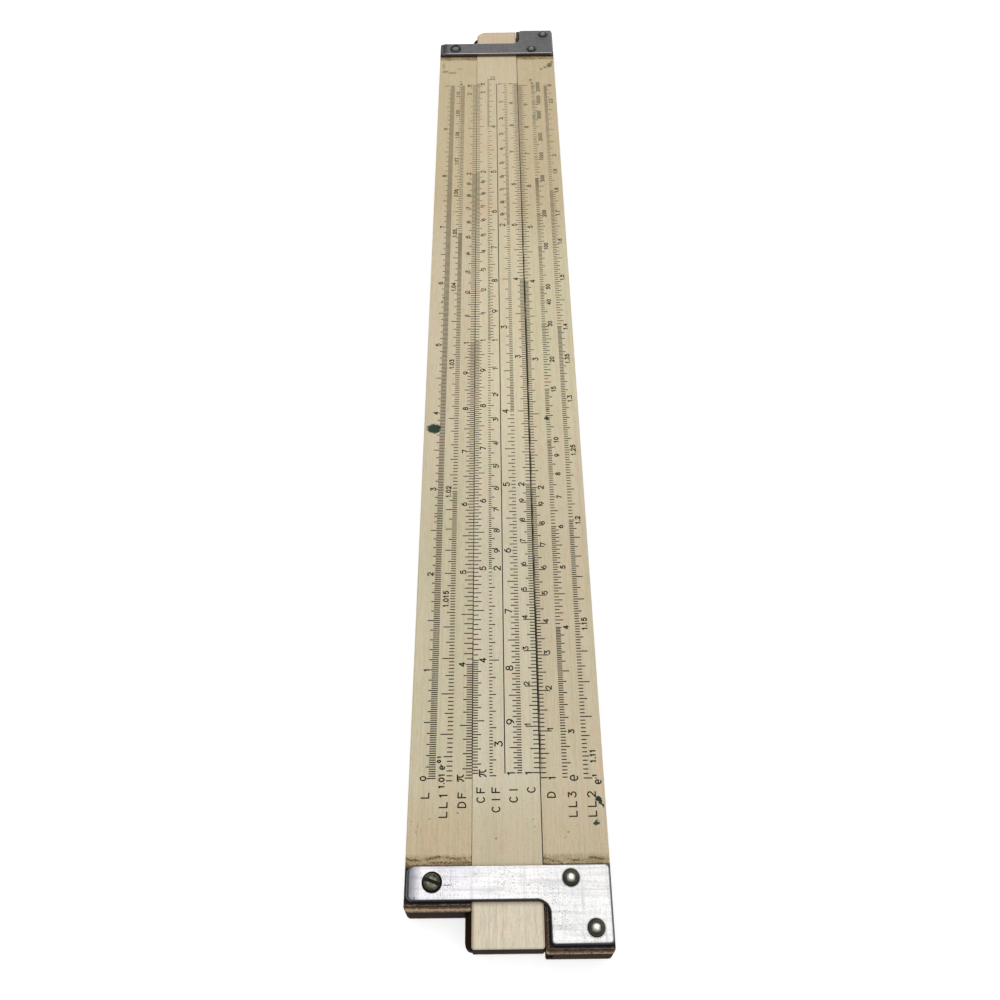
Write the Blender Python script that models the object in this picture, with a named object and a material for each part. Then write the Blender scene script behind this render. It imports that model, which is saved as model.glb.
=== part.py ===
"""A duplex slide rule with a 250 mm scale: two fixed rails, a slide between them, and an L-shaped
bracket at each end of each face.

X runs along the rule, with the left index at -X. Y runs across it, towards the upper rail. Z stands
out of the front face. The rule lies on the heads of its back fasteners at Z = 0, and X = Y = 0 is the
middle of the lower rail's length and of the rule's width. All lengths are in metres.
"""
import math

import bmesh
import bpy
from mathutils import Vector

# Lengths along the rule
SCALE_LENGTH = 0.250
SCALE_TO_BRACKET = 0.0181
BAR_WIDTH = 0.0068
LEG_REACH = 0.00825
LOWER_RAIL_LIP = 0.00125
UPPER_RAIL_LIP = 0.0016
SLIDE_SHORTFALL = 0.0012
SLIDE_REST_OFFSET = 0.0004

# Widths across the rule
RAIL_WIDTH = 0.01352
SLIDE_WIDTH = 0.01438
SLIDE_SIDE_GAP = 0.00014
SLIDE_LEAN = 0.00005

# Layers through the rule
RULE_THICKNESS = 0.0075
FACING_THICKNESS = 0.0009
GLUE_LINE = 0.00005
SLIDE_FACE_DROP = 0.0001

# Tongue on each edge of the slide, and its groove in the rail
TONGUE_THICKNESS = 0.0024
TONGUE_DEPTH = 0.00135
TONGUE_CLEARANCE = 0.00015

# Rounded plan corners of the rails and the slide
RAIL_CORNER = 0.0010
RAIL_INNER_CORNER = 0.0004
SLIDE_CORNER = 0.0004
TONGUE_CORNER = 0.0014
LEAD_CORNER = 0.0034

# Worn outer rims of the facings, as the run across the face and the drop down the side
WORN_RIM_RUN = 0.00035
WORN_RIM_DROP = 0.0003
CRISP_RIM_RUN = 0.00005
CRISP_RIM_DROP = 0.00005

# Bracket plate
BRACKET_THICKNESS = 0.0012
BRACKET_LOWER_INSET = 0.0002
BRACKET_FREE_END_INSET = 0.00045
LEG_INNER_INSET = 0.0009
INNER_FILLET = 0.0024
BRACKET_CORNER = 0.0010
FREE_END_CORNER = 0.0014
SEAT_GAP = 0.00005

# Rolled edges of the bracket, as run and drop
ROLLED_RUN = 0.0006
ROLLED_DROP = 0.0008
LOWER_SIDE_RUN = 0.00045
LOWER_SIDE_DROP = 0.0006
BAR_INNER_RUN = 0.0002
BAR_INNER_DROP = 0.00025
FREE_END_RUN = 0.0012
FREE_END_DROP = 0.0007

# Rivets through the lower rail
RIVET_HEAD_RADIUS = 0.00175
RIVET_HEAD_HEIGHT = 0.0011
RIVET_SHANK_RADIUS = 0.0010
RIVET_CROWN_RADIUS = 0.0004
INNER_RIVET_FROM_BAR = 0.00255
INNER_RIVET_FROM_SIDE = 0.00795
OUTER_RIVET_FROM_END = 0.0031
OUTER_RIVET_FROM_SIDE = 0.00345

# Adjusting screws and their bush in the upper rail
SCREW_HEAD_RADIUS = 0.00207
SCREW_HEAD_HEIGHT = 0.0011
SCREW_CROWN_RADIUS = 0.0008
SCREW_SHANK_RADIUS = 0.0011
SCREW_REACH = 0.0030
SCREW_FROM_BAR = 0.0032
SCREW_FROM_FREE_END = 0.0052
SLOT_WIDTH = 0.0007
SLOT_DEPTH = 0.0006
ADJUST_TRAVEL = 0.0004
BUSH_WALL = 0.0009
BUSH_RECESS = 0.0001
HEAD_RIM = 0.0002
HOLE_CLEARANCE = 0.00005
CUT_OVERRUN = 0.0005

# Slot directions of the four screws, from the rule's length
FRONT_SLOT_DEGREES = {"left": 70.0, "right": 105.0}
BACK_SLOT_DEGREES = {"left": 32.0, "right": 148.0}

# Mesh fineness, and shares that keep a fillet inside its wall
CORNER_STEPS = 5
FILLET_STEPS = 10
RIM_STEPS = 4
DOME_STEPS = 5
ROUND_STEPS = 24
CORNER_LIMIT_SHARE = 0.45
RIM_LIMIT_SHARE = 0.9
SMOOTH_DEGREES = 40.0

# Sizes worked out from the above
BAR_INNER_X = SCALE_LENGTH / 2 + SCALE_TO_BRACKET
BAR_OUTER_X = BAR_INNER_X + BAR_WIDTH
LEG_END_X = BAR_OUTER_X + LEG_REACH
LOWER_RAIL_HALF = LEG_END_X + LOWER_RAIL_LIP
UPPER_RAIL_HALF = BAR_OUTER_X + UPPER_RAIL_LIP
SLIDE_HALF = LOWER_RAIL_HALF - SLIDE_SHORTFALL / 2
CHANNEL_HALF = SLIDE_WIDTH / 2 + SLIDE_SIDE_GAP
RULE_HALF_WIDTH = CHANNEL_HALF + RAIL_WIDTH
RAIL_CENTRE_Y = CHANNEL_HALF + RAIL_WIDTH / 2
CORE_HALF = RULE_THICKNESS / 2 - FACING_THICKNESS - GLUE_LINE
SLIDE_CORE_HALF = CORE_HALF - SLIDE_FACE_DROP
GROOVE_DEPTH = TONGUE_DEPTH - SLIDE_SIDE_GAP + SLIDE_LEAN + TONGUE_CLEARANCE
GROOVE_HALF = TONGUE_THICKNESS / 2 + TONGUE_CLEARANCE
BRACKET_SEAT = RULE_THICKNESS / 2 + SEAT_GAP
HEAD_SEAT = BRACKET_SEAT + BRACKET_THICKNESS + SEAT_GAP
MID_HEIGHT = HEAD_SEAT + max(RIVET_HEAD_HEIGHT, SCREW_HEAD_HEIGHT)
BRACKET_LOW_Y = -RULE_HALF_WIDTH + BRACKET_LOWER_INSET
BRACKET_HIGH_Y = RULE_HALF_WIDTH - BRACKET_FREE_END_INSET
LEG_INNER_Y = -CHANNEL_HALF - LEG_INNER_INSET
BUSH_BORE = SCREW_SHANK_RADIUS + HOLE_CLEARANCE
BUSH_RADIUS = BUSH_BORE + BUSH_WALL
SIDES = {"left": -1, "right": 1}
FACES = {"front": 1, "back": -1}

for old in list(bpy.data.objects):
    bpy.data.objects.remove(old, do_unlink=True)


def material(name, colour, roughness, metallic):
    made = bpy.data.materials.new(name)
    made.use_nodes = True
    shader = made.node_tree.nodes["Principled BSDF"]
    shader.inputs["Base Color"].default_value = (*colour, 1.0)
    shader.inputs["Roughness"].default_value = roughness
    shader.inputs["Metallic"].default_value = metallic
    made.diffuse_color = (*colour, 1.0)
    return made


MAHOGANY = ("mahogany", (0.085, 0.036, 0.018), 0.6, 0.0)
CELLULOID = ("celluloid", (0.60, 0.50, 0.35), 0.38, 0.0)
SATIN_NICKEL = ("satin_nickel", (0.62, 0.61, 0.60), 0.32, 1.0)
DARK_NICKEL = ("dark_nickel", (0.20, 0.20, 0.18), 0.28, 1.0)
BRASS = ("brass", (0.55, 0.40, 0.16), 0.35, 1.0)


def empty(name, place, parent=None):
    made = bpy.data.objects.new(name, None)
    made.location = place
    made.parent = parent
    bpy.context.collection.objects.link(made)
    return made


def solid(name, bm, finish, parent, place=(0, 0, 0), smooth=True):
    """Turns a closed bmesh into a named object, with its faces pointing out."""
    bmesh.ops.recalc_face_normals(bm, faces=bm.faces)
    mesh = bpy.data.meshes.new(name)
    bm.to_mesh(mesh)
    bm.free()
    if smooth:
        mesh.shade_smooth()
        mesh.set_sharp_from_angle(angle=math.radians(SMOOTH_DEGREES))
    made = bpy.data.objects.new(name, mesh)
    made.location = place
    made.parent = parent
    bpy.context.collection.objects.link(made)
    if finish:
        made.data.materials.append(bpy.data.materials.get(finish[0]) or material(*finish))
    return made


def level_shading(made):
    """Keeps the broad flat faces flat where smooth rims meet them."""
    change = made.modifiers.new("level_shading", "WEIGHTED_NORMAL")
    change.keep_sharp = True


def as_cutter(made):
    made.hide_render = True
    made.display_type = "WIRE"
    return made


def boolean(target, tool, operation="DIFFERENCE"):
    change = target.modifiers.new(tool.name, "BOOLEAN")
    change.object = tool
    change.operation = operation
    change.solver = "EXACT"


def rounded_outline(corners):
    """Points round a plan outline, anticlockwise.

    A corner is (x, y, radius, (run, drop)), and its rim belongs to the side that leaves it. A point
    is (place, run, drop): the rim blends from one side's to the next round each corner.
    """
    points = []
    for index, (x, y, radius, rim) in enumerate(corners):
        here = Vector((x, y))
        before = corners[index - 1]
        after = corners[(index + 1) % len(corners)]
        arriving = here - Vector(before[:2])
        leaving = Vector(after[:2]) - here
        turn = math.atan2(arriving.x * leaving.y - arriving.y * leaving.x, arriving.dot(leaving))
        tangent = radius * math.tan(abs(turn) / 2)
        tangent = min(tangent, CORNER_LIMIT_SHARE * min(arriving.length, leaving.length))
        radius = tangent / math.tan(abs(turn) / 2)
        arriving.normalize()
        to_centre = Vector((-arriving.y, arriving.x)) * math.copysign(radius, turn)
        centre = here - arriving * tangent + to_centre
        steps = CORNER_STEPS if turn > 0 else FILLET_STEPS
        for step in range(steps + 1):
            share = step / steps
            angle = turn * share
            spoke = Vector((
                -to_centre.x * math.cos(angle) + to_centre.y * math.sin(angle),
                -to_centre.x * math.sin(angle) - to_centre.y * math.cos(angle),
            ))
            run, drop = (a + (b - a) * share for a, b in zip(before[3], rim))
            if turn > 0:
                run = min(run, RIM_LIMIT_SHARE * radius)
            points.append((centre + spoke, run, drop))
    return points


def inward(points, index):
    """The way a corner of the outline moves when both its sides move in by one unit."""
    here = points[index][0]
    arriving = (here - points[index - 1][0]).normalized()
    leaving = (points[(index + 1) % len(points)][0] - here).normalized()
    first = Vector((-arriving.y, arriving.x))
    second = Vector((-leaving.y, leaving.x))
    return (first + second) / (1 + first.dot(second))


def rimmed_plate(corners, seat, thickness, facing):
    """A plate on the plane Z = seat, built towards facing * Z, with its far rim rounded side by side."""
    points = rounded_outline(corners)
    moves = [inward(points, index) for index in range(len(points))]
    bm = bmesh.new()

    def ring(share, raised):
        level = []
        for (place, run, drop), move in zip(points, moves):
            angle = share * math.pi / 2
            at = place + move * run * (1 - math.cos(angle))
            height = thickness - drop + drop * math.sin(angle) if raised else 0
            level.append(bm.verts.new((at.x, at.y, facing * (seat + height))))
        return level

    rings = [ring(0, False)] + [ring(step / RIM_STEPS, True) for step in range(RIM_STEPS + 1)]
    close_rings(bm, rings)
    return bm


def plain_plate(corners, half_thickness):
    """A plate about Z = 0 with square rims."""
    points = rounded_outline(corners)
    bm = bmesh.new()
    levels = [-half_thickness, half_thickness]
    close_rings(bm, [[bm.verts.new((p.x, p.y, z)) for p, _, _ in points] for z in levels])
    return bm


def close_rings(bm, rings, joined_end=False):
    """Skins a stack of rings, capped at both ends or joined into a loop."""
    pairs = list(zip(rings, rings[1:]))
    if joined_end:
        pairs.append((rings[-1], rings[0]))
    else:
        bm.faces.new(rings[0])
        bm.faces.new(rings[-1])
    for low, high in pairs:
        for index in range(len(low)):
            after = (index + 1) % len(low)
            bm.faces.new((low[index], low[after], high[after], high[index]))


def turned(profile, joined_end=False):
    """A solid turned about Z from (radius, height) points."""
    bm = bmesh.new()
    rings = []
    for radius, height in profile:
        ring = []
        for step in range(ROUND_STEPS):
            angle = 2 * math.pi * step / ROUND_STEPS
            ring.append(bm.verts.new((radius * math.cos(angle), radius * math.sin(angle), height)))
        rings.append(ring)
    close_rings(bm, rings, joined_end)
    return bm


def rectangle(half_length, low_y, high_y, radii, rims):
    """Corners of a rectangle from its lower left, anticlockwise, with four radii and four rims."""
    places = [(-half_length, low_y), (half_length, low_y), (half_length, high_y), (-half_length, high_y)]
    return [(x, y, radius, rim) for (x, y), radius, rim in zip(places, radii, rims)]


def domed_head(radius, height, crown_radius):
    """Profile of a head from its seat at height 0: a low rim, part of a ball and a small flat crown."""
    rise = height - HEAD_RIM
    centre = (crown_radius**2 - radius**2 + height**2 - HEAD_RIM**2) / (2 * rise)
    ball = math.hypot(radius, HEAD_RIM - centre)
    rim_angle = math.asin(radius / ball)
    crown_angle = math.asin(crown_radius / ball)
    profile = [(radius, 0)]
    for step in range(DOME_STEPS + 1):
        angle = rim_angle + (crown_angle - rim_angle) * step / DOME_STEPS
        profile.append((ball * math.sin(angle), centre + ball * math.cos(angle)))
    return profile


def rail(name, side, half_length, holes, parent):
    """One rail: a grooved core with a facing glued on each face. side is 1 for the upper rail."""
    worn = (WORN_RIM_RUN, WORN_RIM_DROP)
    crisp = (CRISP_RIM_RUN, CRISP_RIM_DROP)
    half = RAIL_WIDTH / 2
    place = (0, side * RAIL_CENTRE_Y, 0)
    low_radius, high_radius = (RAIL_CORNER, RAIL_INNER_CORNER)[::-side]
    low_rim, high_rim = (worn, crisp)[::-side]
    radii = (low_radius, low_radius, high_radius, high_radius)
    plan = rectangle(half_length, -half, half, radii, (low_rim, worn, high_rim, worn))
    core = solid(name + "_core", plain_plate(plan, CORE_HALF), MAHOGANY, parent, place, smooth=False)
    groove_plan = rectangle(
        half_length + CUT_OVERRUN,
        *sorted((-side * (half + CUT_OVERRUN), -side * (half - GROOVE_DEPTH))),
        (0, 0, 0, 0), (crisp, crisp, crisp, crisp),
    )
    groove = solid(name + "_groove_cutter", square_block(groove_plan, GROOVE_HALF), None, parent, place)
    boolean(core, as_cutter(groove))
    layers = [core]
    for face, facing in FACES.items():
        layer = rimmed_plate(plan, CORE_HALF + GLUE_LINE, FACING_THICKNESS, facing)
        layers.append(solid(f"{name}_{face}_facing", layer, CELLULOID, parent, place))
    for layer in layers:
        for hole in holes:
            boolean(layer, hole)
        level_shading(layer)


def square_block(corners, half_thickness):
    """A block with square corners about Z = 0, for cutters."""
    bm = bmesh.new()
    levels = [-half_thickness, half_thickness]
    close_rings(bm, [[bm.verts.new((x, y, z)) for x, y, _, _ in corners] for z in levels])
    return bm


def slide(parent):
    """The slide: a core with a tongue along each edge, and a facing on each face."""
    worn = (WORN_RIM_RUN, WORN_RIM_DROP)
    crisp = (CRISP_RIM_RUN, CRISP_RIM_DROP)
    rims = (crisp, worn, crisp, worn)
    half = SLIDE_WIDTH / 2
    radii = (SLIDE_CORNER, SLIDE_CORNER, LEAD_CORNER, SLIDE_CORNER)
    plan = rectangle(SLIDE_HALF, -half, half, radii, rims)
    tongue_radii = (TONGUE_CORNER, TONGUE_CORNER, LEAD_CORNER, TONGUE_CORNER)
    tongue_half = half + TONGUE_DEPTH
    tongue_plan = rectangle(SLIDE_HALF, -tongue_half, tongue_half, tongue_radii, rims)
    core = solid("slide_core", plain_plate(plan, SLIDE_CORE_HALF), MAHOGANY, parent, smooth=False)
    tongues = solid("slide_tongue_former", plain_plate(tongue_plan, TONGUE_THICKNESS / 2), None, parent)
    boolean(core, as_cutter(tongues), "UNION")
    for face, facing in FACES.items():
        layer = rimmed_plate(plan, SLIDE_CORE_HALF + GLUE_LINE, FACING_THICKNESS, facing)
        level_shading(solid(f"slide_{face}_facing", layer, CELLULOID, parent))


def bracket_corners(side):
    """The L of one bracket, anticlockwise: a bar across the rule and a leg along the lower rail."""
    rolled = (ROLLED_RUN, ROLLED_DROP)
    lower = (LOWER_SIDE_RUN, LOWER_SIDE_DROP)
    bar_inner = (BAR_INNER_RUN, BAR_INNER_DROP)
    free_end = (FREE_END_RUN, FREE_END_DROP)
    places = [
        (BAR_INNER_X, BRACKET_LOW_Y, BRACKET_CORNER),
        (LEG_END_X, BRACKET_LOW_Y, BRACKET_CORNER),
        (LEG_END_X, LEG_INNER_Y, BRACKET_CORNER),
        (BAR_OUTER_X, LEG_INNER_Y, INNER_FILLET),
        (BAR_OUTER_X, BRACKET_HIGH_Y, FREE_END_CORNER),
        (BAR_INNER_X, BRACKET_HIGH_Y, FREE_END_CORNER),
    ]
    rims = [lower, rolled, rolled, rolled, free_end, bar_inner]
    if side < 0:
        places.reverse()
        rims = rims[-2::-1] + rims[-1:]
    return [(side * x, y, radius, rim) for (x, y, radius), rim in zip(places, rims)]


def fastener_places(side):
    """Plan places of a bracket's screw, inner rivet and outer rivet."""
    screw = (side * (BAR_INNER_X + SCREW_FROM_BAR), BRACKET_HIGH_Y - SCREW_FROM_FREE_END)
    inner = (side * (BAR_INNER_X + INNER_RIVET_FROM_BAR), BRACKET_LOW_Y + INNER_RIVET_FROM_SIDE)
    outer = (side * (LEG_END_X - OUTER_RIVET_FROM_END), BRACKET_LOW_Y + OUTER_RIVET_FROM_SIDE)
    return screw, inner, outer


def hole_cutter(name, place, radius, parent):
    reach = HEAD_SEAT + CUT_OVERRUN
    made = solid(name, turned([(radius, -reach), (radius, reach)]), None, parent, (*place, 0))
    return as_cutter(made)


def adjusting_slot_cutter(name, place, parent):
    """A long hole across the rule, which lets the upper rail be set closer to the slide."""
    radius = SCREW_SHANK_RADIUS + HOLE_CLEARANCE
    reach = HEAD_SEAT + CUT_OVERRUN
    long_half = radius + ADJUST_TRAVEL
    bm = bmesh.new()
    rings = []
    for height in (-reach, reach):
        ring = []
        for step in range(ROUND_STEPS):
            angle = 2 * math.pi * (step + 1 / 2) / ROUND_STEPS
            shift = math.copysign(long_half - radius, math.sin(angle))
            ring.append(bm.verts.new((radius * math.cos(angle), radius * math.sin(angle) + shift, height)))
        rings.append(ring)
    close_rings(bm, rings)
    return as_cutter(solid(name, bm, None, parent, (*place, 0)))


def bracket(name, side, facing, holes, parent):
    plate = rimmed_plate(bracket_corners(side), BRACKET_SEAT, BRACKET_THICKNESS, facing)
    made = solid(name, plate, SATIN_NICKEL, parent)
    for hole in holes:
        boolean(made, hole)
    level_shading(made)


def rivet(name, place, parent):
    """A rivet through the lower rail and both brackets, with a domed head on each face."""
    dome = domed_head(RIVET_HEAD_RADIUS, RIVET_HEAD_HEIGHT, RIVET_CROWN_RADIUS)
    upper = [(RIVET_SHANK_RADIUS, HEAD_SEAT)] + [(r, HEAD_SEAT + z) for r, z in dome]
    lower = [(r, -z) for r, z in reversed(upper)]
    solid(name, turned(lower + upper), DARK_NICKEL, parent, (*place, 0))


def bush(name, place, parent):
    """The threaded bush in the upper rail that both adjusting screws of one end turn in."""
    half = RULE_THICKNESS / 2 - BUSH_RECESS
    wall = [(BUSH_BORE, -half), (BUSH_RADIUS, -half), (BUSH_RADIUS, half), (BUSH_BORE, half)]
    solid(name, turned(wall, joined_end=True), BRASS, parent, (*place, 0))


def screw(name, place, facing, slot_degrees, parent):
    """A slotted adjusting screw whose shank ends in the bush."""
    shank_length = HEAD_SEAT - RULE_THICKNESS / 2 + BUSH_RECESS + SCREW_REACH
    head = domed_head(SCREW_HEAD_RADIUS, SCREW_HEAD_HEIGHT, SCREW_CROWN_RADIUS)
    profile = [(SCREW_SHANK_RADIUS, -shank_length), (SCREW_SHANK_RADIUS, 0)] + head
    made = solid(name, turned(profile), DARK_NICKEL, parent, (*place, facing * HEAD_SEAT))
    made.rotation_euler = (0 if facing > 0 else math.pi, 0, math.radians(slot_degrees))
    reach = SCREW_HEAD_RADIUS + CUT_OVERRUN
    plan = rectangle(reach, -SLOT_WIDTH / 2, SLOT_WIDTH / 2, (0, 0, 0, 0), (0, 0, 0, 0))
    slot_place = (0, 0, SCREW_HEAD_HEIGHT)
    slot = solid(name + "_slot_cutter", square_block(plan, SLOT_DEPTH), None, made, slot_place)
    boolean(made, as_cutter(slot))


def build():
    rule = empty("rule_mid_plane", (0, 0, MID_HEIGHT))
    slide_frame = empty("slide_axis", (SLIDE_REST_OFFSET, SLIDE_LEAN, 0), rule)
    rivet_holes = []
    bush_holes = []
    for end, side in SIDES.items():
        screw_place, inner_place, outer_place = fastener_places(side)
        shank_hole = RIVET_SHANK_RADIUS + HOLE_CLEARANCE
        pair = [
            hole_cutter(f"{end}_inner_rivet_cutter", inner_place, shank_hole, rule),
            hole_cutter(f"{end}_outer_rivet_cutter", outer_place, shank_hole, rule),
        ]
        rivet_holes += pair
        bush_holes.append(
            hole_cutter(f"{end}_bush_cutter", screw_place, BUSH_RADIUS + HOLE_CLEARANCE, rule))
        long_hole = adjusting_slot_cutter(f"{end}_adjusting_slot_cutter", screw_place, rule)
        for face, facing in FACES.items():
            bracket(f"{end}_{face}_bracket", side, facing, pair + [long_hole], rule)
        rivet(f"{end}_inner_rivet", inner_place, rule)
        rivet(f"{end}_outer_rivet", outer_place, rule)
        bush(f"{end}_adjusting_bush", screw_place, rule)
        screw(f"{end}_front_screw", screw_place, 1, FRONT_SLOT_DEGREES[end], rule)
        screw(f"{end}_back_screw", screw_place, -1, BACK_SLOT_DEGREES[end], rule)
    rail("lower_rail", -1, LOWER_RAIL_HALF, rivet_holes, rule)
    rail("upper_rail", 1, UPPER_RAIL_HALF, bush_holes, rule)
    slide(slide_frame)


build()
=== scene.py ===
"""The looks of a duplex slide rule: finishes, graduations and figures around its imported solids.

X runs along the rule with the left index at -X, Y runs across it, and Z stands out of the front face.
All lengths are in metres. Scales, notes, marks and specks are placed along the rule from the rails'
left index, and across it from its middle line.
"""

import math
from collections import namedtuple

import bpy
import numpy as np
from mathutils import Euler, Matrix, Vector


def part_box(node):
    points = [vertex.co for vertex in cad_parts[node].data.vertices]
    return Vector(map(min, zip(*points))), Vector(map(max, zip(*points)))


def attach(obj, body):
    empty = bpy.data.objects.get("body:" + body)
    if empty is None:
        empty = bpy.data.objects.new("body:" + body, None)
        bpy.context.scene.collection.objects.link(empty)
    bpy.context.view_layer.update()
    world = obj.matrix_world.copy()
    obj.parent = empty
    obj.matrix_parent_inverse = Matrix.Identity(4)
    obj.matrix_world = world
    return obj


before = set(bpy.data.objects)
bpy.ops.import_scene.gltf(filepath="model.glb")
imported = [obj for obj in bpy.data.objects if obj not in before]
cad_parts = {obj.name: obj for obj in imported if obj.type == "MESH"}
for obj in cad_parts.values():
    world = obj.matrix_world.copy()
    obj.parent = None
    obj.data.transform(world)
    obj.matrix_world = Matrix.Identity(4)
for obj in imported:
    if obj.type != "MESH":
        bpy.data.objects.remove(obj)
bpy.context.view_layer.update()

# Scales: their length, and where the upper rail's and the slide's stand against the lower rail's
SCALE_LENGTH = 0.25
UPPER_RAIL_SHIFT = 0.0001
SLIDE_SHIFT = 0.00115

# Engraved lines and figures
TICK_WIDTH = 0.00025
FRAME_LINE_WIDTH = 0.00024
FIGURE_STROKE = 0.0003
SMALL_STROKE = 0.00026
LETTER_STROKE = 0.00029
LETTER_HEIGHT = 0.0019
LETTER_PITCH = 0.00202
FIGURE_GAP = 0.0001
SIDE_FIGURE_GAP = 0.00012

# How deep the ink reaches and how proud it stands. Strokes that cross stand at unlike heights.
INK_DEPTH = 0.00001
TICK_PROUD = 0.000003
FIGURE_PROUD = 0.000005
STROKE_STEP = 0.0000006
STROKE_LEVELS = 8

# The camera, fitted to the graduations
CAMERA_PLACE = (-0.19042, 0.00062, 0.21422)
CAMERA_YAW = math.radians(0.03)
CAMERA_PITCH = math.radians(56.17)
CAMERA_ROLL = math.radians(-0.68)
CAMERA_LENS = 34.75
CAMERA_SENSOR = 36.0
CAMERA_CLIP = 0.01


# Node trees

def reckoned(operation, swapped=False):
    """A method of Field that does this operation with another value."""
    def method(field, other=0.0):
        pair = (other, field) if swapped else (field, other)
        return field.tree.math(operation, *pair)
    return method


class Field:
    """A number that differs from place to place: one node's output, which can be reckoned with."""

    __add__ = reckoned("ADD")
    __sub__ = reckoned("SUBTRACT")
    __rsub__ = reckoned("SUBTRACT", swapped=True)
    __mul__ = reckoned("MULTIPLY")
    __abs__ = reckoned("ABSOLUTE")
    __gt__ = reckoned("GREATER_THAN")
    __lt__ = reckoned("LESS_THAN")

    def __init__(self, tree, socket):
        self.tree = tree
        self.socket = socket


# The levels that most of a noise lies between
NOISE_SPREAD = (0.3, 0.7)
RAGGED_DETAIL = 2.0
BLOT_SOFT_SHARE = 0.18


class Tree:
    """Short calls for one material's nodes. Their inputs are plain values, sockets or fields."""

    def __init__(self, name):
        self.material = bpy.data.materials.new(name)
        self.material.use_nodes = True
        self.nodes = self.material.node_tree.nodes
        self.links = self.material.node_tree.links
        self.shader = self.nodes["Principled BSDF"]
        self.place = self.node("TexCoord").outputs["Object"]
        self.x, self.y, self.z = self.parts(self.place)

    def feed(self, socket, value):
        if isinstance(value, Field):
            value = value.socket
        if isinstance(value, bpy.types.NodeSocket):
            self.links.new(value, socket)
        elif socket.type == "RGBA" and len(value) == 3:
            socket.default_value = (*value, 1)
        else:
            socket.default_value = value

    def node(self, kind, *values, **settings):
        """A new node with these settings, and with these values in its first inputs."""
        node = self.nodes.new("ShaderNode" + kind)
        for setting, choice in settings.items():
            setattr(node, setting, choice)
        for socket, value in zip(node.inputs, values):
            self.feed(socket, value)
        return node

    def fill(self, node, values):
        """The node, with the values in the inputs of their names."""
        for name, value in values.items():
            self.feed(node.inputs[name], value)
        return node

    def parts(self, vector):
        return [Field(self, part) for part in self.node("SeparateXYZ", vector).outputs]

    def join(self, x, y):
        return self.node("CombineXYZ", x, y).outputs[0]

    def math(self, operation, first, second=0.0, clamp=False):
        node = self.node("Math", first, second, operation=operation, use_clamp=clamp)
        return Field(self, node.outputs[0])

    def most(self, first, second):
        return self.math("MAXIMUM", first, second)

    def vector(self, operation, first, second=(0, 0, 0)):
        return self.node("VectorMath", first, second, operation=operation).outputs["Vector"]

    def length(self, vector):
        return Field(self, self.node("VectorMath", vector, operation="LENGTH").outputs["Value"])

    def span(self, value, low, high, low_out=0.0, high_out=1.0, smooth=True):
        """Maps low..high onto low_out..high_out, held outside it."""
        kind = "SMOOTHSTEP" if smooth else "LINEAR"
        node = self.node("MapRange", value, low, high, low_out, high_out, interpolation_type=kind)
        return Field(self, node.outputs["Result"])

    def spread(self, noise, low_out, high_out):
        return self.span(noise, *NOISE_SPREAD, low_out, high_out)

    def texture(self, place, features, detail, roughness=0.5):
        inputs = {"Vector": place, "Scale": features, "Detail": detail, "Roughness": roughness}
        return self.fill(self.node("TexNoise"), inputs).outputs

    def noise(self, stretch, detail, roughness, shift=(0, 0, 0)):
        """Noise from 0 to 1, with its own number of features to the metre along X, Y and Z."""
        place = self.vector("ADD", self.vector("MULTIPLY", self.place, stretch), shift)
        return Field(self, self.texture(place, 1, detail, roughness)["Fac"])

    def noises(self, table):
        return [self.noise(*settings) for settings in table.values()]

    def ragged(self, features, push):
        """The place on the face, pushed about by noise, for rims that aren't smooth."""
        colour = self.texture(self.place, features, RAGGED_DETAIL)["Color"]
        centred = self.vector("SUBTRACT", colour, (0.5, 0.5, 0.5))
        return self.vector("ADD", self.place, self.vector("MULTIPLY", centred, (push, push, 0)))

    def blot(self, centre, radii, ragged, soft_share=BLOT_SOFT_SHARE):
        """A mask of one round blot on the face, its rim pushed about by the vector ragged."""
        from_centre = self.vector("SUBTRACT", ragged, (*centre, 0))
        flat = self.vector("MULTIPLY", from_centre, (1 / radii[0], 1 / radii[1], 0))
        return self.span(self.length(flat), 1 + soft_share, 1 - soft_share)

    def outward(self):
        """How far a place stands from the rule's middle plane, alike on front and back."""
        return abs(self.z - MIDDLE_Z)

    def mix(self, share, first, second):
        inputs = {"Factor": share, "A": first, "B": second}
        return self.fill(self.node("Mix", data_type="RGBA"), inputs).outputs["Result"]

    def over(self, colour, value, levels, level):
        """The colour with another one over it, as far as the value's levels say."""
        return self.mix(self.span(value, *levels), colour, level)

    def tone(self, colour, share, factor):
        """The colour multiplied by a factor, as far as the share goes."""
        return self.mix(share, colour, self.vector("MULTIPLY", colour, factor))

    def relief(self, height, distance, strength):
        inputs = {"Height": height, "Distance": distance, "Strength": strength}
        return self.fill(self.node("Bump"), inputs).outputs["Normal"]

    def finish(self, **values):
        """The material, with these values in the shader's inputs, whose names have _ for a space."""
        self.fill(self.shader, {name.replace("_", " "): value for name, value in values.items()})
        return self.material


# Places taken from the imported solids, and helpers that every piece uses

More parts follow.
